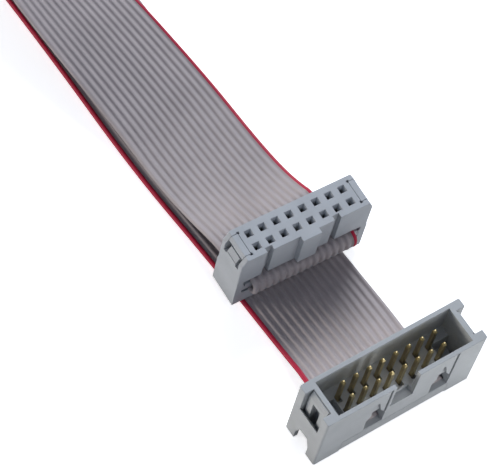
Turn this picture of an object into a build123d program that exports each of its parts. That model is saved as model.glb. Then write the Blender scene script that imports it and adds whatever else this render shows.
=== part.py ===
from build123d import *
import math
import os

# A flat ribbon cable with a 2 x 8 insulation-displacement socket and a 2 x 8 shrouded plug.
# Millimetres, +Z up, the ribbon lying on z = 0, both mating faces up.
# X runs along the cable towards the plug, Y along the two rows of pins.
# The origin is on the table, midway between the outer sides of the two connectors.

# Ribbon and contact grid. Two ribbon wires go with each pair of pins across the rows.
ways = 16
pin_pitch = 2.54
ribbon_pitch = pin_pitch / 2
ribbon_width = ways * ribbon_pitch
ribbon_thick = 0.9
ribbon_gap = 0.04

# Contacts
row_count = 2
column_count = ways // row_count
grid_half = column_count * pin_pitch / 2
fork_offset = ribbon_pitch / 2
fork_width = 1.0
fork_slot = 0.28
contact_thick = 0.4
fork_lead = 0.35
fork_point = 0.06
fork_root_rise = 0.3
beam_half = 0.7
beam_thick = 0.25
beam_squeeze = 0.07
fit_gap = 0.05

# Where the two connectors stand
socket_x = -15.0
plug_x = 13.47
plug_turn = 2.165
socket_lift = 0.1

# Socket, in its own frame: z = 0 under the strain relief
socket_width = 6.1
socket_length = 2 * (grid_half + 2.34)
relief_thick = 3.2
socket_cover_thick = 1.8
socket_body_height = 7.45
relief_arm_thick = 1.25
relief_arm_top = 6.05
relief_hook = 0.35
relief_hook_height = 0.6
relief_shelf = 0.8
end_bevel_out = 0.9
end_bevel_down = 1.8
channel_start = grid_half + 0.29
channel_half = 2.1
arm_gap = 0.08
arm_thick = 0.7
window_low = 3.0
window_notch_low = 3.6
cap_down = 0.82
latch_half = 1.3
latch_top_down = 1.8
latch_top_out = 1.69
corner_round = 0.25
bevel_round = 0.6
socket_wall_end = 0.9
relief_square = 0.45
funnel_size = 1.3
funnel_depth = 0.55
hole_size = 0.8
key_half = 1.75
key_proud = 0.95
key_bevel = 0.3
groove_width = 1.25
groove_depth = 0.85
groove_ys = (-7.37, 5.4)
chamber_half_x = 0.6
chamber_top_gap = 1.5
fork_depth = 1.0
groove_square_depth = 1.0
tooth_in = 0.05
blade_step = 0.2
blade_high = 0.6
beam_waist = 0.9
beam_bend = 2.2
beam_foot = 0.7
mouth_gap = 0.05
mouth_thick = 0.15

# Plug, in its own frame: z = 0 on the table
plug_width = 8.0
plug_length = 2 * (grid_half + 5.29)
plug_height = 14.8
plug_cover_thick = 3.1
cavity_width = 6.5
cavity_length = 2 * (grid_half + 2.84)
cavity_floor = 8.65
pin_size = 0.64
pin_top = plug_height - 0.15
pin_tip = 0.5
pin_tip_size = 0.22
cover_end = grid_half + 0.34
skirt_thick = 1.0
plug_channel_half = 2.4
plug_arm_half = 2.15
plug_arm_start = grid_half + 3.69
plug_arm_thick = 0.7
plug_arm_top = plug_height - 0.2
plug_arm_bevel_out = 0.5
plug_arm_bevel_down = 0.9
window_sill = plug_height - 5.5
sill_lip = 0.12
sill_slope = 1.2
latch_hole_half = 0.9
latch_hole_low = plug_height - 9.3
latch_hole_high = plug_height - 2.0
foot_notch_top = 4.5
foot_notch_knee = 2.2
foot_notch_top_half = 0.9
foot_notch_half = 1.7
notch_half = 2.25
notch_floor = 7.9
slit_ys = (-3.05, 9.85)
slit_width = 0.5
slit_depth = 0.65
slit_top_gap = 0.2
slit_lows = (7.0, 5.0)
scoop_high = 0.5
scoop_deep = 1.6
pocket_length = 0.95
pocket_width = 0.9
pocket_depth = 1.0
notch_step_x = 2.5
plug_blade_top = 6.3
core_start = grid_half - 0.61
core_deep_start = grid_half + 0.14
core_side = -1.3
core_depth = 1.75
core_deep = 3.4
recess_top = plug_height - 3.2
recess_depth = 0.55
plug_arm_root = 1.1
cover_chamfer = 0.4
plug_shoulder = 0.8
plug_neck = 0.5
pin_root = 0.2
scoop_outline = (
    (-2.2, 12.2),
    (-2.9, 10.0),
    (-2.9, 8.1),
    (-3.6, 6.9),
    (-3.4, 3.6),
    (0.2, 3.6),
    (0.2, 6.7),
    (-1.1, 8.8),
    (-1.8, 11.6),
)
scoop_reach = 4.0
scoop_floor_gap = 0.5
latch_tooth_rise = 0.9
latch_tooth_out = 0.35
latch_tooth_slope = 0.3
parting_gap = 0.16
ear_round = 0.35
arm_overlap = 0.3

# Levels that follow from the stack of pieces
ribbon_room = ribbon_thick + ribbon_gap
low_ribbon = relief_thick + ribbon_room / 2
socket_cover_z = relief_thick + ribbon_room
high_ribbon = socket_cover_z + socket_cover_thick + ribbon_room / 2
socket_floor = high_ribbon + ribbon_room / 2
socket_top = socket_floor + socket_body_height
socket_base = ribbon_thick + socket_lift
plug_ribbon = plug_cover_thick + ribbon_room / 2
plug_floor = plug_cover_thick + ribbon_room
half_w = socket_width / 2
half_l = socket_length / 2
plug_half_w = plug_width / 2
plug_half_l = plug_length / 2
fold_radius = (high_ribbon - low_ribbon) / 2
high_z = socket_base + high_ribbon
low_z = socket_base + low_ribbon

socket_place = Pos(socket_x, 0, socket_base)
plug_place = Pos(plug_x, 0, 0) * Rot(0, 0, plug_turn)

# The ribbon's route, chosen by hand: x, y, z of its middle line and its bank in degrees.
# It starts at the far side of the socket, folds round the cover and goes back through the
# strain relief. It leaves to -X, stands up on its red edge, turns back on itself, lies down
# on the table, passes under the socket and rises into the plug. Points that the connectors
# hold are tied to them. A hundredth of a millimetre keeps three points out of one line.
nudge = 0.01
relief_exit = 2.0
fold_x = socket_x + half_w
fold_points = 5
held_in_socket = [
    (socket_x - half_w, 0.0, high_z, 0),
    (fold_x - fold_radius, 0.0, high_z + nudge, 0),
    (fold_x + fold_radius, 0.0, high_z, 0),
    (fold_x + fold_radius, 0.0, low_z, 0),
    (fold_x - fold_radius, 0.0, low_z - nudge, 0),
    (socket_x - half_w - relief_exit, -0.62, low_z, 0),
]
free_run = [
    (-22.4, -1.15, 4.9, 3),
    (-28.4, -1.75, 2.9, 4),
    (-37.0, -2.65, 2.0, 2),
    (-50.0, -3.75, 2.3, 4),
    (-70.0, -8.0, 6.05, 9),
    (-80.0, -10.3, 7.1, 20),
    (-90.5, -8.3, 8.8, 34),
    (-103.0, -3.4, 10.4, 53),
    (-118.0, 2.2, 11.0, 73),
    (-135.0, 5.2, 10.6, 87),
    (-156.0, 6.2, 10.3, 90),
    (-178.0, 6.0, 10.3, 90),
    (-185.0, -6.2, 10.3, 90),
    (-178.5, -18.4, 10.3, 90),
    (-162.0, -19.0, 10.35, 84),
    (-148.5, -16.2, 9.2, 58),
    (-136.5, -12.6, 5.9, 30),
    (-124.5, -10.0, 2.3, 8),
    (-110.0, -8.7, 0.75, 1),
    (-90.0, -7.4, 0.47, 0),
    (-66.0, -5.5, 0.45, 0),
    (-42.0, -4.25, 0.46, 0),
    (-22.0, -1.65, 0.45, 0),
    (-8.0, -0.3, 0.46, 0),
    (1.0, 0.4, 0.95, 0),
]
plug_entry = 1.6
plug_mouth = plug_half_w + plug_entry
plug_middle = 1.5
plug_ribbon_end = plug_half_w - skirt_thick


def in_plug(x, lift=0.0):
    """A point of the ribbon at x in the plug's own frame."""
    turn = math.radians(plug_turn)
    return (plug_x + x * math.cos(turn), x * math.sin(turn), plug_ribbon + lift, 0)


held_in_plug = [in_plug(-plug_mouth), in_plug(-plug_middle, nudge), in_plug(plug_ribbon_end)]
route = held_in_socket + free_run + held_in_plug


def block(x, y, z):
    """A box between two limits along each axis."""
    middle = [(low + high) / 2 for low, high in (x, y, z)]
    return Pos(*middle) * Box(x[1] - x[0], y[1] - y[0], z[1] - z[0])


def across(outline, x):
    """A solid from an outline of (y, z) points, between two limits along X."""
    face = make_face(Polyline(*outline, close=True))
    plate = extrude(Plane.YZ * face, x[1] - x[0])
    return Pos(x[0], 0, 0) * plate


def along(outline, y):
    """A solid from an outline of (x, z) points, between two limits along Y."""
    face = make_face(Polyline(*outline, close=True))
    plate = extrude(Plane.XZ * face, y[1] - y[0])
    return Pos(0, y[1], 0) * plate


def both_ends(half):
    """A piece's +Y end with its mirror image at -Y."""
    return half + mirror(half, Plane.XZ)


def grid_places():
    """Each contact's pin position, with the side on which its ribbon core lies."""
    places = []
    for column in range(column_count):
        y = (column - (column_count - 1) / 2) * pin_pitch
        for row, side in ((-pin_pitch / 2, 1), (pin_pitch / 2, -1)):
            places.append((row, y, side))
    return places


# The ribbon

def path_stations():
    """Points, tangents and banks along the straight runs and tangent arcs of the route."""
    points = [Vector(*p[:3]) for p in route]
    banks = [p[3] for p in route]
    runs = [(b - a).length for a, b in zip(points, points[1:])]
    stations = [(points[0], (points[1] - points[0]).normalized(), banks[0], True)]
    radii = []
    for i in range(1, len(points) - 1):
        before = (points[i] - points[i - 1]).normalized()
        after = (points[i + 1] - points[i]).normalized()
        turn = math.radians(before.get_angle(after))
        reach = 0.45 * min(runs[i - 1], runs[i])
        radius = reach / math.tan(turn / 2)
        radii.append(round(radius, 1))
        bank_in = banks[i] + (banks[i - 1] - banks[i]) * reach / runs[i - 1]
        bank_out = banks[i] + (banks[i + 1] - banks[i]) * reach / runs[i]
        start = points[i] - before * reach
        inward = (after - before * math.cos(turn)).normalized()
        steps = max(2, math.ceil(math.degrees(turn) / 12))
        for k in range(steps + 1):
            angle = turn * k / steps
            place = start + before * (radius * math.sin(angle)) + inward * (radius * (1 - math.cos(angle)))
            heading = before * math.cos(angle) + inward * math.sin(angle)
            bank = bank_in + (bank_out - bank_in) * k / steps
            stations.append((place, heading, bank, i < fold_points))
        if i + 2 < len(points):
            next_reach = 0.45 * min(runs[i], runs[i + 1])
        else:
            next_reach = 0.0
        clear = runs[i] - reach - next_reach
        twist = banks[i + 1] - banks[i]
        cuts = math.ceil(abs(twist) * clear / runs[i] / 6)
        for k in range(1, cuts):
            share = (reach + clear * k / cuts) / runs[i]
            place = points[i] + after * (runs[i] * share)
            stations.append((place, after, banks[i] + twist * share, i < fold_points))
    stations.append((points[-1], (points[-1] - points[-2]).normalized(), banks[-1], False))
    print("ribbon radii, mm:", radii)
    return stations


def path_length(stations):
    """The length of the middle line through the stations."""
    return sum((b[0] - a[0]).length for a, b in zip(stations, stations[1:]))


def ribbon_section(place, heading, bank, in_fold):
    """The ribbon's outline across its route. Its red edge is on the right of the heading."""
    if in_fold:
        level = Vector(0, -1, 0)
    else:
        level = Vector(0, 0, 1).cross(Vector(heading.X, heading.Y, 0)).normalized()
    up = heading.cross(level).normalized()
    tilt = math.radians(bank)
    left = level * math.cos(tilt) + up * math.sin(tilt)
    face_up = heading.cross(left)
    side = left * (ribbon_width / 2)
    rise = face_up * (ribbon_thick / 2)
    corners = [place + side + rise, place - side + rise, place - side - rise, place + side - rise]
    return Wire.make_polygon(corners, close=True)


def tine_cuts(level):
    """The two slots that each forked contact cuts through the ribbon."""
    cuts = []
    z = (level - ribbon_thick, level + ribbon_thick)
    for x, y, side in grid_places():
        middle = y + side * fork_offset
        for tine in (-1, 1):
            edges = sorted((middle + tine * fork_slot / 2, middle + tine * fork_width / 2))
            cuts.append(block((x - contact_thick / 2, x + contact_thick / 2), edges, z))
    return cuts


def make_ribbon():
    """The whole ribbon, slotted where both rows of forks pass through it."""
    stations = path_stations()
    strip = Solid.make_loft([ribbon_section(*s) for s in stations], ruled=True)
    length = path_length(stations)
    share = strip.volume / (length * ribbon_width * ribbon_thick)
    print("ribbon length, mm:", round(length, 1), "volume over section times length:", round(share, 4))
    cuts = [socket_place * cut for cut in tine_cuts(high_ribbon)]
    cuts += [plug_place * cut for cut in tine_cuts(plug_ribbon)]
    return Part() + strip - cuts


# The socket

def socket_end_outline(y_in, z_low):
    """The bevelled outline of the socket's +Y end, from y_in out and from z_low up."""
    return [
        (y_in, z_low),
        (half_l, z_low),
        (half_l, socket_top - end_bevel_down),
        (half_l - end_bevel_out, socket_top),
        (y_in, socket_top),
    ]


def make_socket_body():
    """The moulded body: pin holes, key, grooves and an open channel at each end."""
    x = (-half_w, half_w)
    body = block(x, (-channel_start, channel_start), (socket_floor, socket_top))
    end = across(socket_end_outline(channel_start, socket_floor), x)
    end = fillet(end.edges().filter_by(Axis.X).group_by(Axis.Z)[1], bevel_round)
    end = fillet(end.edges().filter_by(Axis.Z).group_by(Axis.Y)[-1], corner_round)
    skirt = block(x, (half_l - relief_arm_thick, half_l), (relief_arm_top, socket_floor))
    slot = (-channel_half, channel_half)
    channel = block(slot, (channel_start, half_l - socket_wall_end), (0, 2 * socket_top))
    window = block(slot, (half_l - socket_wall_end, 2 * half_l), (socket_top - window_low, 2 * socket_top))
    notches = []
    for side in (-1, 1):
        across_notch = sorted((side * (latch_half + fit_gap), side * channel_half))
        depth = (half_l - socket_wall_end - fit_gap, 2 * half_l)
        notches.append(block(across_notch, depth, (socket_top - window_notch_low, 2 * socket_top)))
    body += both_ends(end + skirt - channel - window - notches)
    body += block((half_w, half_w + key_proud), (-key_half, key_half), (socket_floor + key_bevel, socket_top))
    for y in groove_ys:
        across_groove = (y - groove_width / 2, y + groove_width / 2)
        body -= block((half_w - groove_depth, 2 * half_w), across_groove, (0, 2 * socket_top))
    square = relief_square / 2
    z = (socket_top - groove_square_depth, 2 * socket_top)
    for y in (-channel_start, channel_start):
        for x in (-channel_half, channel_half):
            body -= block((x - square, x + square), (y - square, y + square), z)
    for x, y, side in grid_places():
        body -= contact_chamber(x, y, side)
    return body


def contact_chamber(x, y, side):
    """The funnel, pin hole and contact chamber at one place of the grid."""
    mouth = Pos(x, y, socket_top) * Rectangle(funnel_size, funnel_size)
    throat = Pos(x, y, socket_top - funnel_depth) * Rectangle(hole_size, hole_size)
    funnel = loft([mouth, throat])
    half = hole_size / 2
    chamber_top = socket_top - chamber_top_gap
    hole = block((x - half, x + half), (y - half, y + half), (chamber_top, socket_top))
    reach = sorted((y - side * (beam_half + fit_gap), y + side * (fork_offset + fork_width / 2 + fit_gap)))
    chamber = block((x - chamber_half_x, x + chamber_half_x), reach, (socket_floor - 1, chamber_top))
    return [funnel, hole, chamber]


def fork_slots(z):
    """The slots in a cover that take the tips of all the forks."""
    slots = []
    half_x = contact_thick / 2 + fit_gap
    half_y = fork_width / 2 + fit_gap
    for x, y, side in grid_places():
        middle = y + side * fork_offset
        slots.append(block((x - half_x, x + half_x), (middle - half_y, middle + half_y), z))
    return slots


def make_socket_cover():
    """The cover under the contacts, with an arm at each end that latches in the body's window."""
    low, high = socket_cover_z, socket_cover_z + socket_cover_thick
    end_in = half_l - relief_arm_thick - arm_gap
    plate = block((-half_w, half_w), (-end_in, end_in), (low, high))
    plate -= fork_slots((high - fork_depth - fit_gap, 2 * socket_top))
    arm_x = channel_half - arm_gap
    start = channel_start + arm_gap
    outer = start + arm_thick
    cap_out = half_l - end_bevel_out * (1 - cap_down / end_bevel_down)
    outline = [
        (start, high),
        (outer, high),
        (outer, socket_top - cap_down),
        (cap_out, socket_top - cap_down),
        (half_l - end_bevel_out, socket_top),
        (start, socket_top),
    ]
    latch = [
        (outer - fit_gap, socket_top - window_low + arm_gap),
        (half_l - tooth_in, socket_top - window_low + arm_gap),
        (grid_half + latch_top_out, socket_top - latch_top_down),
        (outer - fit_gap, socket_top - latch_top_down),
    ]
    arm = across(outline, (-arm_x, arm_x)) + across(latch, (-latch_half, latch_half))
    plate += both_ends(arm)
    ledge = end_in - relief_hook
    shelf = low + relief_shelf
    notch = block((-2 * half_w, 2 * half_w), (ledge, 2 * half_l), (shelf, high))
    foot = block((-arm_x, arm_x), (start, start + arm_thick), (shelf, high))
    return plate - both_ends(notch) + both_ends(foot)


def make_strain_relief():
    """The bar that clamps the folded ribbon, with a hooked arm at each end."""
    bar = block((-half_w, half_w), (-half_l, half_l), (0, relief_thick))
    arm_in = half_l - relief_arm_thick
    hook_low = socket_cover_z + relief_shelf + arm_gap
    outline = [
        (arm_in, relief_thick),
        (half_l, relief_thick),
        (half_l, relief_arm_top),
        (arm_in, relief_arm_top),
        (arm_in - relief_hook, hook_low + relief_hook_height / 2),
        (arm_in - relief_hook, hook_low),
        (arm_in, hook_low),
    ]
    arms = both_ends(across(outline, (-half_w, half_w)))
    clear = block((-channel_half, channel_half), (0, arm_in), (hook_low - 1, 2 * socket_top))
    return bar + arms - both_ends(clear)


# The contacts

def fork(side, tip, root, shoulder):
    """A forked blade's outline (y, z), from its left shoulder down and up to its right."""
    middle = side * fork_offset
    half, slot = fork_width / 2, fork_slot / 2
    return [
        (middle - half, shoulder),
        (middle - half, tip + fork_lead),
        (middle - slot - fork_point, tip),
        (middle - slot, tip + fork_lead),
        (middle - slot, root),
        (middle + slot, root),
        (middle + slot, tip + fork_lead),
        (middle + slot + fork_point, tip),
        (middle + half, tip + fork_lead),
        (middle + half, shoulder),
    ]


def make_socket_contact(x, y, side):
    """A stamped female contact: two spring beams above, a forked blade below."""
    tip = socket_cover_z + socket_cover_thick - fork_depth
    shoulder = socket_floor + fork_root_rise + blade_step
    base = shoulder + blade_high
    top = socket_top - chamber_top_gap - blade_step
    outer, inner = beam_half, beam_half - beam_thick
    pinch = pin_size / 2 - beam_squeeze
    right = [
        (outer, base),
        (outer, top - beam_bend),
        (pinch + beam_thick, top - beam_waist),
        (outer - mouth_gap, top),
        (outer - mouth_gap - mouth_thick, top),
        (pinch, top - beam_waist),
        (inner, top - beam_bend),
        (inner, base + beam_foot),
    ]
    left = [(-py, pz) for py, pz in reversed(right)]
    outline = fork(side, tip, socket_floor + fork_root_rise, shoulder) + right + left
    blade = across(outline, (-contact_thick / 2, contact_thick / 2))
    return Pos(x, y, 0) * blade


def make_plug_contact(x, y, side):
    """A male contact: a square pin with a pyramid tip above, a forked blade below."""
    tip = plug_cover_thick - fork_depth
    shoulder = plug_floor + plug_shoulder
    outline = fork(side, tip, plug_floor + fork_root_rise, shoulder)
    outline += [(beam_half, plug_blade_top - plug_neck), (beam_half, plug_blade_top)]
    outline += [(-beam_half, plug_blade_top), (-beam_half, plug_blade_top - plug_neck)]
    blade = across(outline, (-contact_thick / 2, contact_thick / 2))
    half = pin_size / 2
    pin = block((-half, half), (-half, half), (plug_blade_top - pin_root, pin_top - pin_tip))
    foot = Pos(0, 0, pin_top - pin_tip) * Rectangle(pin_size, pin_size)
    point = Pos(0, 0, pin_top) * Rectangle(pin_tip_size, pin_tip_size)
    return Pos(x, y, 0) * (blade + pin + loft([foot, point]))


# The plug

def blade_chamber(x, y, side):
    """The slot for a blade, its pin's hole and the open pocket beside the pin."""
    half_x = contact_thick / 2 + fit_gap
    reach = sorted((y - side * (beam_half + fit_gap), y + side * (fork_offset + fork_width / 2 + fit_gap)))
    slot = block((x - half_x, x + half_x), reach, (0, plug_blade_top + fit_gap))
    half = pin_size / 2 + fit_gap
    hole = block((x - half, x + half), (y - half, y + half), (plug_floor, 2 * cavity_floor))
    pocket = block(
        (x - half, x + pocket_length),
        (y - pocket_width / 2, y + pocket_width / 2),
        (cavity_floor - pocket_depth, 2 * cavity_floor),
    )
    return [slot, hole, pocket]


def make_plug_body():
    """The shroud on two footed towers, with its cavity, its key notch and a deep well at each end."""
    sides = (-plug_half_w, plug_half_w)
    body = block(sides, (-cover_end, cover_end), (plug_floor, plug_height))
    skirt = (plug_cover_thick + parting_gap, plug_floor)
    body += block((plug_half_w - skirt_thick, plug_half_w), (-cover_end, cover_end), skirt)
    body += both_ends(make_plug_tower())
    half_x, half_y = cavity_width / 2, cavity_length / 2
    body -= block((-half_x, half_x), (-half_y, half_y), (cavity_floor, 2 * plug_height))
    body -= block((notch_step_x, 2 * plug_width), (-notch_half, notch_half), (notch_floor, 2 * plug_height))
    side = (core_side, half_x)
    shallow = block(side, (core_start, half_y), (cavity_floor - core_depth, 2 * cavity_floor))
    deep = block(side, (core_deep_start, half_y), (cavity_floor - core_deep, 2 * cavity_floor))
    body -= both_ends(shallow + deep)
    for y, low in zip(slit_ys, slit_lows):
        width = (y - slit_width / 2, y + slit_width / 2)
        body -= block((plug_half_w - slit_depth, 2 * plug_width), width, (low, plug_height - slit_top_gap))
        body -= scoop(y)
    for x, y, side in grid_places():
        body -= blade_chamber(x, y, side)
    return body


def scoop(slit_y):
    """The wedge-shaped recess beside a slit, shallow in the wall and deep below the floor."""
    outline = [(slit_y + y, z) for y, z in scoop_outline]
    wedge = across(outline, (plug_half_w - scoop_high, 2 * plug_width))
    deep = across(outline, (plug_half_w - scoop_deep, 2 * plug_width))
    near = (slit_y - scoop_reach, slit_y + scoop_reach)
    under = block((0, 2 * plug_width), near, (0, cavity_floor - scoop_floor_gap))
    return [wedge, deep & under]


def make_plug_tower():
    """The +Y end: two feet, a channel for the cover's arm, a window, and a latch tooth over a recess."""
    sides = (-plug_half_w, plug_half_w)
    wall_in = plug_arm_start + plug_arm_thick + arm_gap
    channel_in = plug_arm_start - fit_gap
    tower = block(sides, (cover_end, plug_half_l), (0, plug_height))
    tower = fillet(tower.edges().filter_by(Axis.Z).group_by(Axis.Y)[-1], ear_round)
    slot = (-plug_channel_half, plug_channel_half)
    tower -= block(slot, (channel_in, wall_in), (0, 2 * plug_height))
    tower -= block(slot, (wall_in, 2 * plug_half_l), (window_sill, 2 * plug_height))
    sill = [
        (wall_in - arm_gap, window_sill - sill_slope),
        (wall_in, window_sill - sill_slope),
        (plug_half_l - sill_lip, window_sill),
        (wall_in - arm_gap, window_sill),
    ]
    tower -= across(sill, slot)
    under = (-plug_arm_half - fit_gap, plug_arm_half + fit_gap)
    tower -= block(under, (0, channel_in), (-1, plug_cover_thick + fit_gap))
    notch = [
        (-foot_notch_half, -1),
        (-foot_notch_half, foot_notch_knee),
        (-foot_notch_top_half, foot_notch_top),
        (foot_notch_top_half, foot_notch_top),
        (foot_notch_half, foot_notch_knee),
        (foot_notch_half, -1),
    ]
    tower -= along(notch, (wall_in, 2 * plug_half_l))
    recess = (channel_in - recess_depth, channel_in + fit_gap)
    tower -= block((-latch_hole_half, latch_hole_half), recess, (latch_hole_low, recess_top))
    tooth_half = latch_hole_half - 2 * fit_gap
    tooth_low = latch_hole_high - fit_gap - latch_tooth_rise
    tooth = [
        (channel_in, tooth_low),
        (channel_in + latch_tooth_out, tooth_low + latch_tooth_slope),
        (channel_in + latch_tooth_out, latch_hole_high - fit_gap),
        (channel_in, latch_hole_high - fit_gap),
    ]
    return tower + across(tooth, (-tooth_half, tooth_half))


def make_plug_cover():
    """The cover under the plug's contacts, with an arm with a latch hole at each end."""
    sides = (-plug_half_w, plug_half_w)
    end = cover_end - fit_gap
    plate = block(sides, (-end, end), (0, plug_cover_thick))
    plate = chamfer(plate.edges().filter_by(Axis.Y).group_by(Axis.Z)[0], cover_chamfer)
    plate -= fork_slots((plug_cover_thick - fork_depth - fit_gap, 2 * plug_height))
    low = plug_cover_thick - plug_arm_root
    arm_x = (-plug_arm_half, plug_arm_half)
    outer = plug_arm_start + plug_arm_thick
    outline = [
        (end - arm_overlap, low),
        (outer, low),
        (outer, plug_arm_top - plug_arm_bevel_down),
        (outer - plug_arm_bevel_out, plug_arm_top),
        (plug_arm_start, plug_arm_top),
        (plug_arm_start, plug_cover_thick),
        (end - arm_overlap, plug_cover_thick),
    ]
    hole_x = (-latch_hole_half, latch_hole_half)
    arm = across(outline, arm_x)
    arm -= block(hole_x, (plug_arm_start - 1, 2 * plug_half_l), (latch_hole_low, latch_hole_high))
    return plate + both_ends(arm)


def write(part, name):
    """Writes one piece as a STEP file."""
    export_step(part, f"parts/{name}.step")


os.makedirs("parts", exist_ok=True)
write(make_ribbon(), "ribbon_cable")
write(socket_place * make_socket_body(), "socket_body")
write(socket_place * make_socket_cover(), "socket_cover")
write(socket_place * make_strain_relief(), "socket_strain_relief")
write(plug_place * make_plug_body(), "plug_body")
write(plug_place * make_plug_cover(), "plug_cover")
for number, place in enumerate(grid_places(), start=1):
    write(socket_place * make_socket_contact(*place), f"socket_contact_{number:02d}")
    write(plug_place * make_plug_contact(*place), f"plug_contact_{number:02d}")
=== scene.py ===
"""Dresses a flat ribbon cable that ends in a two-row socket and a two-row shrouded plug.

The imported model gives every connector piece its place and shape. This script carries the
moulded and stamped pieces over with their finishes, makes the ribbon as sixteen joined
wires along its route, and sets up the floor, the lamps and the camera.
"""

import math

import bmesh
import bpy
import numpy as np
from mathutils import Matrix, Vector


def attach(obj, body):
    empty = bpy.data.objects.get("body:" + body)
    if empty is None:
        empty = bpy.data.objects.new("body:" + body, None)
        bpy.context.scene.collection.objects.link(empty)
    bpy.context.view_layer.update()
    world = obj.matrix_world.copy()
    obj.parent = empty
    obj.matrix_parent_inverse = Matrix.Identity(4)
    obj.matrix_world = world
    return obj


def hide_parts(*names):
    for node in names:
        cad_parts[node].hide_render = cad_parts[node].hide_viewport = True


bl_info = {
    "name": "Flat Ribbon Cable",
    "version": (1, 0, 0),
    "blender": (4, 5, 0),
    "location": "3D View > Sidebar > Ribbon Cable",
    "description": "A flat ribbon cable with a two-row socket and a two-row shrouded plug",
    "category": "Add Mesh",
}

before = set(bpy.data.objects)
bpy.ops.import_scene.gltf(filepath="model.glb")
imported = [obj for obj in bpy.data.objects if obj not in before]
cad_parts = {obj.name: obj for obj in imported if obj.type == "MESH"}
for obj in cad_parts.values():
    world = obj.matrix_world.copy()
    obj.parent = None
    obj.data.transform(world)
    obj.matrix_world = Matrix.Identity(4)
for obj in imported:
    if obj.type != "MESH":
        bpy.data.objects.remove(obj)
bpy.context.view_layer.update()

# The ribbon's route in metres with its bank in degrees: the control points of one spline.
# It folds round the socket's cover, leaves through the strain relief, stands up on its red
# edge, turns back, lies down on the table and rises into the plug.
ROUTE = (
    (-0.01805, 0.0, 0.00741, 0),
    (-0.01332, 0.0, 0.00742, 0),
    (-0.01058, 0.0, 0.00741, 0),
    (-0.01058, 0.0, 0.00467, 0),
    (-0.01332, 0.0, 0.00466, 0),
    (-0.02005, -0.00062, 0.00467, 0),
    (-0.0224, -0.00115, 0.0049, 3),
    (-0.0284, -0.00175, 0.0029, 4),
    (-0.037, -0.00265, 0.002, 2),
    (-0.05, -0.00375, 0.0023, 4),
    (-0.07, -0.008, 0.00605, 9),
    (-0.08, -0.0103, 0.0071, 20),
    (-0.0905, -0.0083, 0.0088, 34),
    (-0.103, -0.0034, 0.0104, 53),
    (-0.118, 0.0022, 0.011, 73),
    (-0.135, 0.0052, 0.0106, 87),
    (-0.156, 0.0062, 0.0103, 90),
    (-0.178, 0.006, 0.0103, 90),
    (-0.185, -0.0062, 0.0103, 90),
    (-0.1785, -0.0184, 0.0103, 90),
    (-0.162, -0.019, 0.01035, 84),
    (-0.1485, -0.0162, 0.0092, 58),
    (-0.1365, -0.0126, 0.0059, 30),
    (-0.1245, -0.01, 0.0023, 8),
    (-0.11, -0.0087, 0.00075, 1),
    (-0.09, -0.0074, 0.00047, 0),
    (-0.066, -0.0055, 0.00045, 0),
    (-0.042, -0.00425, 0.00046, 0),
    (-0.022, -0.00165, 0.00045, 0),
    (-0.008, -0.0003, 0.00046, 0),
    (0.001, 0.0004, 0.00095, 0),
    (0.007874, -0.000212, 0.00357, 0),
    (0.011971, -0.000057, 0.00358, 0),
    (0.016468, 0.000113, 0.00357, 0),
)
# The ribbon leaves the socket at the sixth point.
# Steps of the curve in each span of the spline, and the spans that turn over in the fold.
SPAN_STEPS = 8
FOLD_SPANS = 4
# Points along the arc of one wire, on one side of the ribbon.
ARC_POINTS = 7

SOCKET_MOULDINGS = ("socket_body", "socket_cover", "socket_strain_relief")
PLUG_MOULDINGS = ("plug_body", "plug_cover")
CONTACTS = tuple(sorted(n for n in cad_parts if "contact" in n))

# Each distant lamp: the direction it shines from, its tint, and its width in degrees.
LAMPS = {
    "key": ((-0.67, 0.51, 0.7), (0.94, 1.0, 1.08), 30),
    "end": ((-0.5, -0.86, 0.09), (1.06, 1.0, 0.92), 25),
    "front": ((0.9, 0.35, 0.25), (0.97, 1.0, 1.03), 70),
}
# The small lit card: its place, the point it faces, and its side.
CARD_PLACE = (0.085, 0.035, 0.02)
CARD_AIM = (0.018, 0.0, 0.006)
CARD_SIDE = 0.04
# The tint of the light from all round, and the floor's colour and glow.
ROOM_TINT = (0.8, 0.95, 1.32)
SWEEP_COLOUR = "#F1EFEA"
SWEEP_GLOW = 0.72

# The camera, fitted to the pin grid and the housings: its place, and in degrees its heading
# from +X, how far it looks down, and its roll.
CAMERA_PLACE = (0.123876, -0.150438, 0.36257)
CAMERA_HEADING = 134.641
CAMERA_DIP = 60.19
CAMERA_ROLL = -16.04

# Fine texture sizes in materials are given in millimetres.
MM = 0.001


def linear(hex_colour):
    """The linear colour of an sRGB hex value: c/12.92 below 0.04045, else ((c+0.055)/1.055)^2.4."""
    parts = [int(hex_colour[i : i + 2], 16) / 255 for i in (1, 3, 5)]
    return tuple(c / 12.92 if c <= 0.04045 else ((c + 0.055) / 1.055) ** 2.4 for c in parts)


def colour_prop(name, description, hex_colour):
    """A colour property whose default is an sRGB hex value."""
    return bpy.props.FloatVectorProperty(
        name=name,
        description=description,
        subtype="COLOR",
        size=3,
        min=0.0,
        max=1.0,
        default=linear(hex_colour),
    )


def length_prop(name, description, default):
    """A length property in metres."""
    return bpy.props.FloatProperty(
        name=name,
        description=description,
        default=default,
        min=0.0,
        precision=5,
        subtype="DISTANCE",
        unit="LENGTH",
    )


def strength_prop(name, description, default, unit="NONE"):
    """The strength or power of a lamp or of the world."""
    return bpy.props.FloatProperty(
        name=name, description=description, default=default, min=0.0, unit=unit
    )


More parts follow.
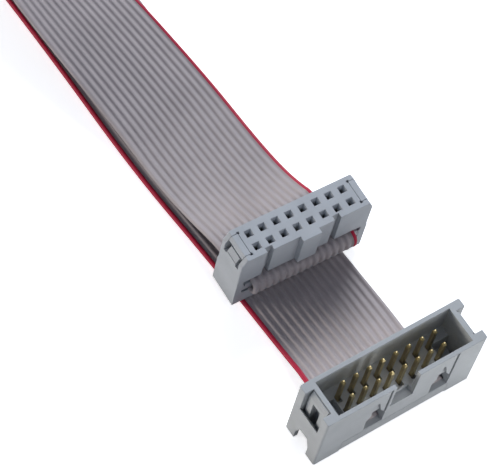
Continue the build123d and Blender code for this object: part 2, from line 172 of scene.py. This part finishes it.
class RibbonSettings(bpy.types.PropertyGroup):
    """Sizes and colours of the flat ribbon."""

    wires: bpy.props.IntProperty(
        name="Wires", description="Number of wires side by side", default=16, min=2, max=64
    )
    pitch: length_prop("Pitch", "Distance between neighbouring wires", 0.00127)
    thickness: length_prop("Thickness", "Diameter of each wire's insulation", 0.0009)
    web: length_prop("Web", "Thickness of the web between two wires", 0.00036)
    fold_web: length_prop("Fold web", "Thickness of the stretched web round the fold", 0.0002)
    colour: colour_prop("Insulation", "Colour of the plain wires", "#ACA2A1")
    edge_colour: colour_prop("Edge wire", "Colour of the first wire", "#B00E36")


class HousingSettings(bpy.types.PropertyGroup):
    """Colours of the moulded and plated pieces."""

    socket_colour: colour_prop("Socket", "Colour of the socket's mouldings", "#ADB0B3")
    plug_colour: colour_prop("Plug", "Colour of the plug's mouldings", "#AFB1B1")
    plating: colour_prop("Plating", "Colour of the gold-plated contacts", "#C4B384")
    edge_radius: length_prop("Edge radius", "Softening of the mouldings' edges", 0.00012)


class StageSettings(bpy.types.PropertyGroup):
    """The floor, the lamps and the camera's lens."""

    floor_size: length_prop("Floor", "Side of the square floor", 6.0)
    key_strength: strength_prop("Key lamp", "Strength of the high lamp behind the ribbon", 2.35)
    end_strength: strength_prop("End lamp", "Strength of the low lamp on the housings' ends", 2.2)
    front_strength: strength_prop(
        "Front lamp", "Strength of the low lamp on the housings' fronts", 0.45
    )
    card_power: strength_prop(
        "Card", "Power of the small lit card near the plug", 0.022, unit="POWER"
    )
    room_strength: strength_prop("Room", "Strength of the light from all round", 0.18)
    lens: bpy.props.FloatProperty(
        name="Lens", description="Focal length on a 36 mm sensor", default=181.69, min=1.0,
        subtype="DISTANCE_CAMERA",
    )


def add_object(name, data):
    """A new object at the world origin, linked to the scene."""
    made = bpy.data.objects.new(name, data)
    bpy.context.scene.collection.objects.link(made)
    return made


def mesh_object(name, points, faces, smooth=True):
    """A new mesh object at the world origin, its place held in its points."""
    mesh = bpy.data.meshes.new(name)
    mesh.from_pydata(points, [], faces)
    mesh.polygons.foreach_set("use_smooth", [smooth] * len(mesh.polygons))
    return add_object(name, mesh)


def face_outwards(made):
    """Turns every face of a closed mesh outwards."""
    edit = bmesh.new()
    edit.from_mesh(made.data)
    bmesh.ops.recalc_face_normals(edit, faces=edit.faces)
    edit.to_mesh(made.data)
    edit.free()


def spline_points(rows):
    """Points along the NURBS spline of order 3 that has the rows as its control points."""
    curve = bpy.data.curves.new("route", "CURVE")
    curve.dimensions = "3D"
    line = curve.splines.new("NURBS")
    line.points.add(len(rows) - 1)
    line.points.foreach_set("co", np.c_[rows, np.ones(len(rows))].ravel())
    line.order_u = 3
    line.use_endpoint_u = True
    line.resolution_u = SPAN_STEPS
    holder = bpy.data.objects.new("route", curve)
    mesh = bpy.data.meshes.new_from_object(holder)
    points = np.empty(len(mesh.vertices) * 3)
    mesh.vertices.foreach_get("co", points)
    bpy.data.objects.remove(holder)
    bpy.data.curves.remove(curve)
    bpy.data.meshes.remove(mesh)
    return points.reshape(-1, 3)


def unit(rows):
    """Each row divided by its length."""
    return rows / np.linalg.norm(rows, axis=1, keepdims=True)


def ribbon_frames():
    """Centre, left and face-up directions along the ribbon.

    Left is level and square to the heading, and in the fold it is -Y. The bank turns left
    towards up, left' = left cos b + up sin b, and face-up is heading x left'. The banks follow
    a spline of their own, with the control point's number as a second coordinate.
    """
    route = np.array(ROUTE)
    centres = spline_points(route[:, :3])
    banks = spline_points(np.c_[route[:, 3], np.arange(len(route)), np.zeros(len(route))])[:, 0]
    heading = unit(np.gradient(centres, axis=0))
    level = np.c_[-heading[:, 1], heading[:, 0], np.zeros(len(heading))]
    in_fold = np.arange(len(heading)) < FOLD_SPANS * SPAN_STEPS
    level[in_fold] = (0.0, -1.0, 0.0)
    level = unit(level)
    up = unit(np.cross(heading, level))
    tilt = np.radians(banks)[:, None]
    left = level * np.cos(tilt) + up * np.sin(tilt)
    return centres, left, np.cross(heading, left)


def ribbon_profile(settings, web):
    """Across and rise round the ribbon's section, from the red edge over the top and back.

    Wire i is an arc of radius r about ((i - (n - 1) / 2) pitch, 0), cut off where it meets
    the web at angle asin(web / (2 r)). The first and last wires run on to the mid-plane.
    """
    radius = settings.thickness / 2
    meet = math.asin(web / settings.thickness)
    start = np.full(settings.wires, math.pi - meet)
    stop = np.full(settings.wires, meet)
    start[0] = math.pi
    stop[-1] = 0.0
    angles = start[:, None] + (stop - start)[:, None] * np.linspace(0, 1, ARC_POINTS)
    centres = (np.arange(settings.wires) - (settings.wires - 1) / 2) * settings.pitch
    across = (centres[:, None] + radius * np.cos(angles)).ravel()
    rise = (radius * np.sin(angles)).ravel()
    return np.stack((np.r_[across, across[-2:0:-1]], np.r_[rise, -rise[-2:0:-1]]))


def fold_share(stations):
    """How far each station lies within the fold: 1 - (2 u - 1)^8, u its share of the fold."""
    share = np.arange(stations) / (FOLD_SPANS * SPAN_STEPS)
    return np.where(share < 1, 1 - (2 * share - 1) ** 8, 0.0)


def ribbon_surface(settings):
    """The ribbon's centre line, its rings of points, and their distance along and wire number.

    Point k of ring s is centre(s) + left(s) across(k) + face-up(s) rise(k). The section is
    the plain one plus the fold's share of the change to the one with stretched webs. The wire
    number is across / pitch + n / 2, so wire i has its middle at i + 1/2.
    """
    centres, left, face_up = ribbon_frames()
    plain = ribbon_profile(settings, settings.web)
    folded = ribbon_profile(settings, settings.fold_web)
    bent = fold_share(len(centres))[:, None]
    across, rise = (plain[i] + bent * (folded - plain)[i] for i in (0, 1))
    points = (
        centres[:, None] + left[:, None] * across[..., None] + face_up[:, None] * rise[..., None]
    )
    steps = np.linalg.norm(np.diff(centres, axis=0), axis=1)
    along = np.repeat(np.r_[0.0, np.cumsum(steps)], across.shape[1])
    wire = (across / settings.pitch + settings.wires / 2).ravel()
    return centres, points, np.c_[along, wire]


def tube_faces(stations, around):
    """Quads of a closed tube of rings with n points each, and a cap on each end.

    Quad k of ring s joins the points s n + k, s n + k + 1, (s + 1) n + k + 1 and (s + 1) n + k,
    where k + 1 starts again at 0 after the last point.
    """
    ring = np.arange(around)
    row = (np.arange(stations - 1) * around)[:, None]
    following = (ring + 1) % around
    corners = (row + ring, row + following, row + around + following, row + around + ring)
    caps = [ring[::-1].tolist(), (ring + (stations - 1) * around).tolist()]
    return np.stack(corners, -1).reshape(-1, 4).tolist() + caps


def wire_map(made, rows):
    """A UV map that holds each point's distance along the ribbon and its wire number."""
    corners = np.empty(len(made.data.loops), dtype=np.int32)
    made.data.loops.foreach_get("vertex_index", corners)
    layer = made.data.uv_layers.new(name="wire")
    layer.data.foreach_set("uv", rows[corners].ravel())


def add_node(tree, kind, settings=None, **inputs):
    """Adds a node, sets its settings, and sets or links its inputs.

    An input is named with _ for each space, or as _ and its number where names repeat.
    """
    node = tree.nodes.new(kind)
    for name, value in (settings or {}).items():
        setattr(node, name, value)
    for name, value in inputs.items():
        key = int(name[1:]) if name[1:].isdigit() else name.replace("_", " ")
        if isinstance(value, bpy.types.NodeSocket):
            tree.links.new(value, node.inputs[key])
        else:
            node.inputs[key].default_value = value
    return node


def new_material(name):
    """An empty node material and its tree."""
    material = bpy.data.materials.new(name)
    material.use_nodes = True
    material.node_tree.nodes.clear()
    return material, material.node_tree


def speckled(tree, base, deep, vector, grain):
    """A colour that wanders between two near tones in patches of the grain's size in metres."""
    noise = add_node(tree, "ShaderNodeTexNoise", Vector=vector, Scale=1 / grain, Detail=3.0)
    spread = add_node(
        tree, "ShaderNodeMapRange", Value=noise.outputs["Fac"], From_Min=0.3, From_Max=0.7
    )
    return add_node(
        tree, "ShaderNodeMix", {"data_type": "RGBA"},
        _0=spread.outputs[0], _6=(*deep, 1), _7=(*base, 1),
    ).outputs[2]


def shade(colour, amount):
    """A colour made lighter or darker by a factor, kept below white."""
    return tuple(min(1.0, c * amount) for c in colour)


def moulded_polyester(name, colour, edge_radius):
    """Glass-filled PBT, injection moulded: an even satin face with a fine sparked texture."""
    material, tree = new_material(name)
    coords = add_node(tree, "ShaderNodeTexCoord").outputs["Object"]
    # The melt's flow leaves faint patches a few millimetres wide.
    tone = speckled(tree, shade(colour, 1.04), shade(colour, 0.94), coords, grain=4 * MM)
    # Sparked mould texture is about 0.05 mm. It is drawn at 0.25 mm so that it shows.
    spark = add_node(
        tree, "ShaderNodeTexNoise", Vector=coords, Scale=1 / (0.25 * MM), Detail=2.0
    )
    soft_edge = add_node(tree, "ShaderNodeBevel", {"samples": 6}, Radius=edge_radius)
    bump = add_node(
        tree, "ShaderNodeBump", Height=spark.outputs["Fac"], Strength=0.25,
        Distance=0.03 * MM, Normal=soft_edge.outputs[0],
    )
    rough = add_node(
        tree, "ShaderNodeMapRange", Value=spark.outputs["Fac"], To_Min=0.5, To_Max=0.64
    )
    surface = add_node(
        tree, "ShaderNodeBsdfPrincipled", Base_Color=tone, Roughness=rough.outputs[0],
        IOR=1.57, Specular_IOR_Level=0.3, Normal=bump.outputs[0],
    )
    add_node(tree, "ShaderNodeOutputMaterial", Surface=surface.outputs[0])
    return material


def extruded_vinyl(name, colour, edge_colour):
    """Extruded PVC: a dull sheen with faint drawn lines along each wire, one edge wire red."""
    material, tree = new_material(name)
    wire = add_node(tree, "ShaderNodeUVMap", {"uv_map": "wire"}).outputs[0]
    place = add_node(tree, "ShaderNodeSeparateXYZ", Vector=wire)
    coords = add_node(tree, "ShaderNodeTexCoord").outputs["Object"]
    # The plastic's grey wanders a little over half a centimetre.
    grey = speckled(tree, shade(colour, 1.05), shade(colour, 0.93), coords, grain=6 * MM)
    # Drawn lines are a seventh of a millimetre apart, nine to a wire, and about 2 mm long.
    stretch = add_node(tree, "ShaderNodeCombineXYZ", X=place.outputs[1])
    length = add_node(
        tree, "ShaderNodeMath", {"operation": "MULTIPLY"}, _0=place.outputs[0], _1=60.0
    )
    tree.links.new(length.outputs[0], stretch.inputs["Y"])
    drawn = add_node(
        tree, "ShaderNodeTexNoise", Vector=stretch.outputs[0], Scale=9.0, Detail=2.0
    )
    # The red ends on the flank of the first wire, whose middle is at half a pitch.
    is_edge = add_node(
        tree, "ShaderNodeMapRange", Value=place.outputs[1], From_Min=0.68, From_Max=0.74,
        To_Min=1.0, To_Max=0.0,
    )
    tone = add_node(
        tree, "ShaderNodeMix", {"data_type": "RGBA"},
        _0=is_edge.outputs[0], _6=grey, _7=(*edge_colour, 1),
    )
    bump = add_node(
        tree, "ShaderNodeBump", Height=drawn.outputs["Fac"], Strength=0.2, Distance=0.02 * MM
    )
    rough = add_node(
        tree, "ShaderNodeMapRange", Value=drawn.outputs["Fac"], To_Min=0.45, To_Max=0.6
    )
    surface = add_node(
        tree, "ShaderNodeBsdfPrincipled", Base_Color=tone.outputs[2],
        Roughness=rough.outputs[0], IOR=1.53, Specular_IOR_Level=0.3,
        Normal=bump.outputs[0],
    )
    add_node(tree, "ShaderNodeOutputMaterial", Surface=surface.outputs[0])
    return material


def gold_flash(name, colour):
    """Gold plating on stamped copper alloy: bright, with fine streaks along the pin."""
    material, tree = new_material(name)
    coords = add_node(tree, "ShaderNodeTexCoord").outputs["Object"]
    # The pins stand upright, so the streaks are ten times as long in Z.
    drawn = add_node(tree, "ShaderNodeMapping", Vector=coords, Scale=(1.0, 1.0, 0.1))
    # Rolling marks are a few hundredths of a millimetre, drawn at 0.12 mm so that they show.
    streak = add_node(
        tree, "ShaderNodeTexNoise", Vector=drawn.outputs[0], Scale=1 / (0.12 * MM), Detail=2.0
    )
    tone = speckled(tree, colour, shade(colour, 0.8), coords, grain=1.5 * MM)
    rough = add_node(
        tree, "ShaderNodeMapRange", Value=streak.outputs["Fac"], To_Min=0.22, To_Max=0.42
    )
    bump = add_node(
        tree, "ShaderNodeBump", Height=streak.outputs["Fac"], Strength=0.15, Distance=0.01 * MM
    )
    surface = add_node(
        tree, "ShaderNodeBsdfPrincipled", Base_Color=tone, Metallic=1.0,
        Roughness=rough.outputs[0], Normal=bump.outputs[0],
    )
    add_node(tree, "ShaderNodeOutputMaterial", Surface=surface.outputs[0])
    return material


def white_sweep():
    """Matt white card: it glows a little for the camera, so that only its shadows show."""
    material, tree = new_material("white sweep")
    seen = add_node(tree, "ShaderNodeLightPath").outputs["Is Camera Ray"]
    sweep = add_node(tree, "ShaderNodeBsdfDiffuse", Color=(*linear(SWEEP_COLOUR), 1))
    lit = add_node(tree, "ShaderNodeBsdfDiffuse", Color=(1, 1, 1, 1))
    glow = add_node(tree, "ShaderNodeEmission", Color=(1, 1, 1, 1), Strength=SWEEP_GLOW)
    white = add_node(tree, "ShaderNodeAddShader", _0=lit.outputs[0], _1=glow.outputs[0])
    mix = add_node(
        tree, "ShaderNodeMixShader", _0=seen, _1=sweep.outputs[0], _2=white.outputs[0]
    )
    add_node(tree, "ShaderNodeOutputMaterial", Surface=mix.outputs[0])
    return material


def dress(nodes, material):
    """Gives each of these carried-over nodes the one material."""
    for node in nodes:
        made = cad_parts[node]
        made.data.materials.clear()
        made.data.materials.append(material)


def add_world(scene, strength):
    """A dim bluish light from all round, plain white wherever the world is seen."""
    scene.world = bpy.data.worlds.new("studio")
    scene.world.use_nodes = True
    tree = scene.world.node_tree
    tree.nodes.clear()
    path = add_node(tree, "ShaderNodeLightPath")
    seen = path.outputs["Is Camera Ray"]
    for ray in ("Is Glossy Ray", "Is Transmission Ray"):
        seen = add_node(
            tree, "ShaderNodeMath", {"operation": "MAXIMUM"}, _0=seen, _1=path.outputs[ray]
        ).outputs[0]
    shown = add_node(
        tree, "ShaderNodeMix", {"data_type": "RGBA"},
        _0=seen, _6=(*(c * strength for c in ROOM_TINT), 1), _7=(1, 1, 1, 1),
    )
    sky = add_node(tree, "ShaderNodeBackground", Color=shown.outputs[2], Strength=1.0)
    add_node(tree, "ShaderNodeOutputWorld", Surface=sky.outputs[0])


def turn_back_to(made, direction):
    """Turns a lamp so that its back is towards a direction, and it shines the other way."""
    made.rotation_mode = "QUATERNION"
    made.rotation_quaternion = Vector(direction).to_track_quat("Z", "Y")


def add_lamp(name, towards, tint, spread, strength):
    """A soft distant lamp that shines from a direction, as wide as the spread in degrees."""
    data = bpy.data.lights.new(name, "SUN")
    data.energy = strength
    data.color = tint
    data.angle = math.radians(spread)
    turn_back_to(add_object(name, data), towards)


def add_card(power):
    """A small square lamp close to the plug, itself unseen."""
    data = bpy.data.lights.new("card", "AREA")
    data.energy = power
    data.size = CARD_SIDE
    made = add_object("card", data)
    made.location = CARD_PLACE
    turn_back_to(made, Vector(CARD_PLACE) - Vector(CARD_AIM))
    made.visible_camera = False


def add_camera(scene, lens):
    """The camera at the photograph's place, its level axes turned about its view by the roll."""
    heading, dip, roll = map(math.radians, (CAMERA_HEADING, CAMERA_DIP, CAMERA_ROLL))
    forward = Vector(
        (math.cos(heading) * math.cos(dip), math.sin(heading) * math.cos(dip), -math.sin(dip))
    )
    right = forward.cross(Vector((0, 0, 1))).normalized()
    down = forward.cross(right)
    image_x = right * math.cos(roll) + down * math.sin(roll)
    image_down = down * math.cos(roll) - right * math.sin(roll)
    data = bpy.data.cameras.new("camera")
    data.sensor_width = 36.0
    data.lens = lens
    data.clip_start = 0.01
    data.clip_end = 10.0
    made = add_object("camera", data)
    turn = Matrix((image_x, -image_down, -forward)).transposed().to_4x4()
    made.matrix_world = Matrix.Translation(CAMERA_PLACE) @ turn
    scene.camera = made


class CABLE_OT_stage(bpy.types.Operator):
    """Sets up the floor, the lamps, the world and the camera"""

    bl_idname = "cable.stage"
    bl_label = "Stage"

    def execute(self, context):
        scene = context.scene
        settings = scene.stage
        half = settings.floor_size / 2
        corners = [(-half, -half, 0), (half, -half, 0), (half, half, 0), (-half, half, 0)]
        floor = mesh_object("floor", corners, [(0, 1, 2, 3)], smooth=False)
        floor.data.materials.append(white_sweep())
        add_world(scene, settings.room_strength)
        for name, (towards, tint, spread) in LAMPS.items():
            add_lamp(name, towards, tint, spread, getattr(settings, name + "_strength"))
        add_card(settings.card_power)
        add_camera(scene, settings.lens)
        scene.view_settings.view_transform = "Standard"
        return {"FINISHED"}


class CABLE_OT_ribbon(bpy.types.Operator):
    """Makes the ribbon of joined wires along its route"""

    bl_idname = "cable.ribbon"
    bl_label = "Ribbon"

    def execute(self, context):
        settings = context.scene.ribbon
        centres, points, along_and_wire = ribbon_surface(settings)
        made = mesh_object("ribbon", points.reshape(-1, 3), tube_faces(*points.shape[:2]))
        wire_map(made, along_and_wire)
        face_outwards(made)
        made.data.materials.append(
            extruded_vinyl("extruded PVC", settings.colour, settings.edge_colour)
        )
        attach(made, "root")
        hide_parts("ribbon_cable")
        return {"FINISHED"}


class CABLE_OT_socket(bpy.types.Operator):
    """Gives the socket's three mouldings their finish"""

    bl_idname = "cable.socket"
    bl_label = "Socket"

    def execute(self, context):
        settings = context.scene.housing
        plastic = moulded_polyester(
            "moulded PBT, blue-grey", settings.socket_colour, settings.edge_radius
        )
        dress(SOCKET_MOULDINGS, plastic)
        return {"FINISHED"}


class CABLE_OT_plug(bpy.types.Operator):
    """Gives the plug's shroud and cover their finish"""

    bl_idname = "cable.plug"
    bl_label = "Plug"

    def execute(self, context):
        settings = context.scene.housing
        plastic = moulded_polyester(
            "moulded PBT, grey", settings.plug_colour, settings.edge_radius
        )
        dress(PLUG_MOULDINGS, plastic)
        return {"FINISHED"}


class CABLE_OT_contacts(bpy.types.Operator):
    """Gives the stamped contacts their gold plating"""

    bl_idname = "cable.contacts"
    bl_label = "Contacts"

    def execute(self, context):
        settings = context.scene.housing
        dress(CONTACTS, gold_flash("gold flash on copper alloy", settings.plating))
        return {"FINISHED"}


class CABLE_PT_panel(bpy.types.Panel):
    """Lists the pieces of the cable and their sizes and colours"""

    bl_idname = "CABLE_PT_panel"
    bl_label = "Ribbon Cable"
    bl_space_type = "VIEW_3D"
    bl_region_type = "UI"
    bl_category = "Ribbon Cable"

    def draw(self, context):
        for group in GROUPS:
            box = self.layout.box()
            settings = getattr(context.scene, group)
            for name in settings.__annotations__:
                box.prop(settings, name)
        for operator in OPERATORS:
            self.layout.operator(operator.bl_idname)


GROUPS = {"ribbon": RibbonSettings, "housing": HousingSettings, "stage": StageSettings}
OPERATORS = (CABLE_OT_stage, CABLE_OT_ribbon, CABLE_OT_socket, CABLE_OT_plug, CABLE_OT_contacts)
CLASSES = (*GROUPS.values(), *OPERATORS, CABLE_PT_panel)


def register():
    """Registers the classes and hangs the settings on the scene."""
    for cls in CLASSES:
        bpy.utils.register_class(cls)
    for name, group in GROUPS.items():
        setattr(bpy.types.Scene, name, bpy.props.PointerProperty(type=group))


def unregister():
    """Takes back what register did."""
    for name in GROUPS:
        delattr(bpy.types.Scene, name)
    for cls in reversed(CLASSES):
        bpy.utils.unregister_class(cls)


def main():
    """Registers the add-on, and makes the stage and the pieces."""
    register()
    bpy.ops.cable.stage()
    bpy.ops.cable.ribbon()
    bpy.ops.cable.socket()
    bpy.ops.cable.plug()
    bpy.ops.cable.contacts()


if __name__ == "__main__":
    main()
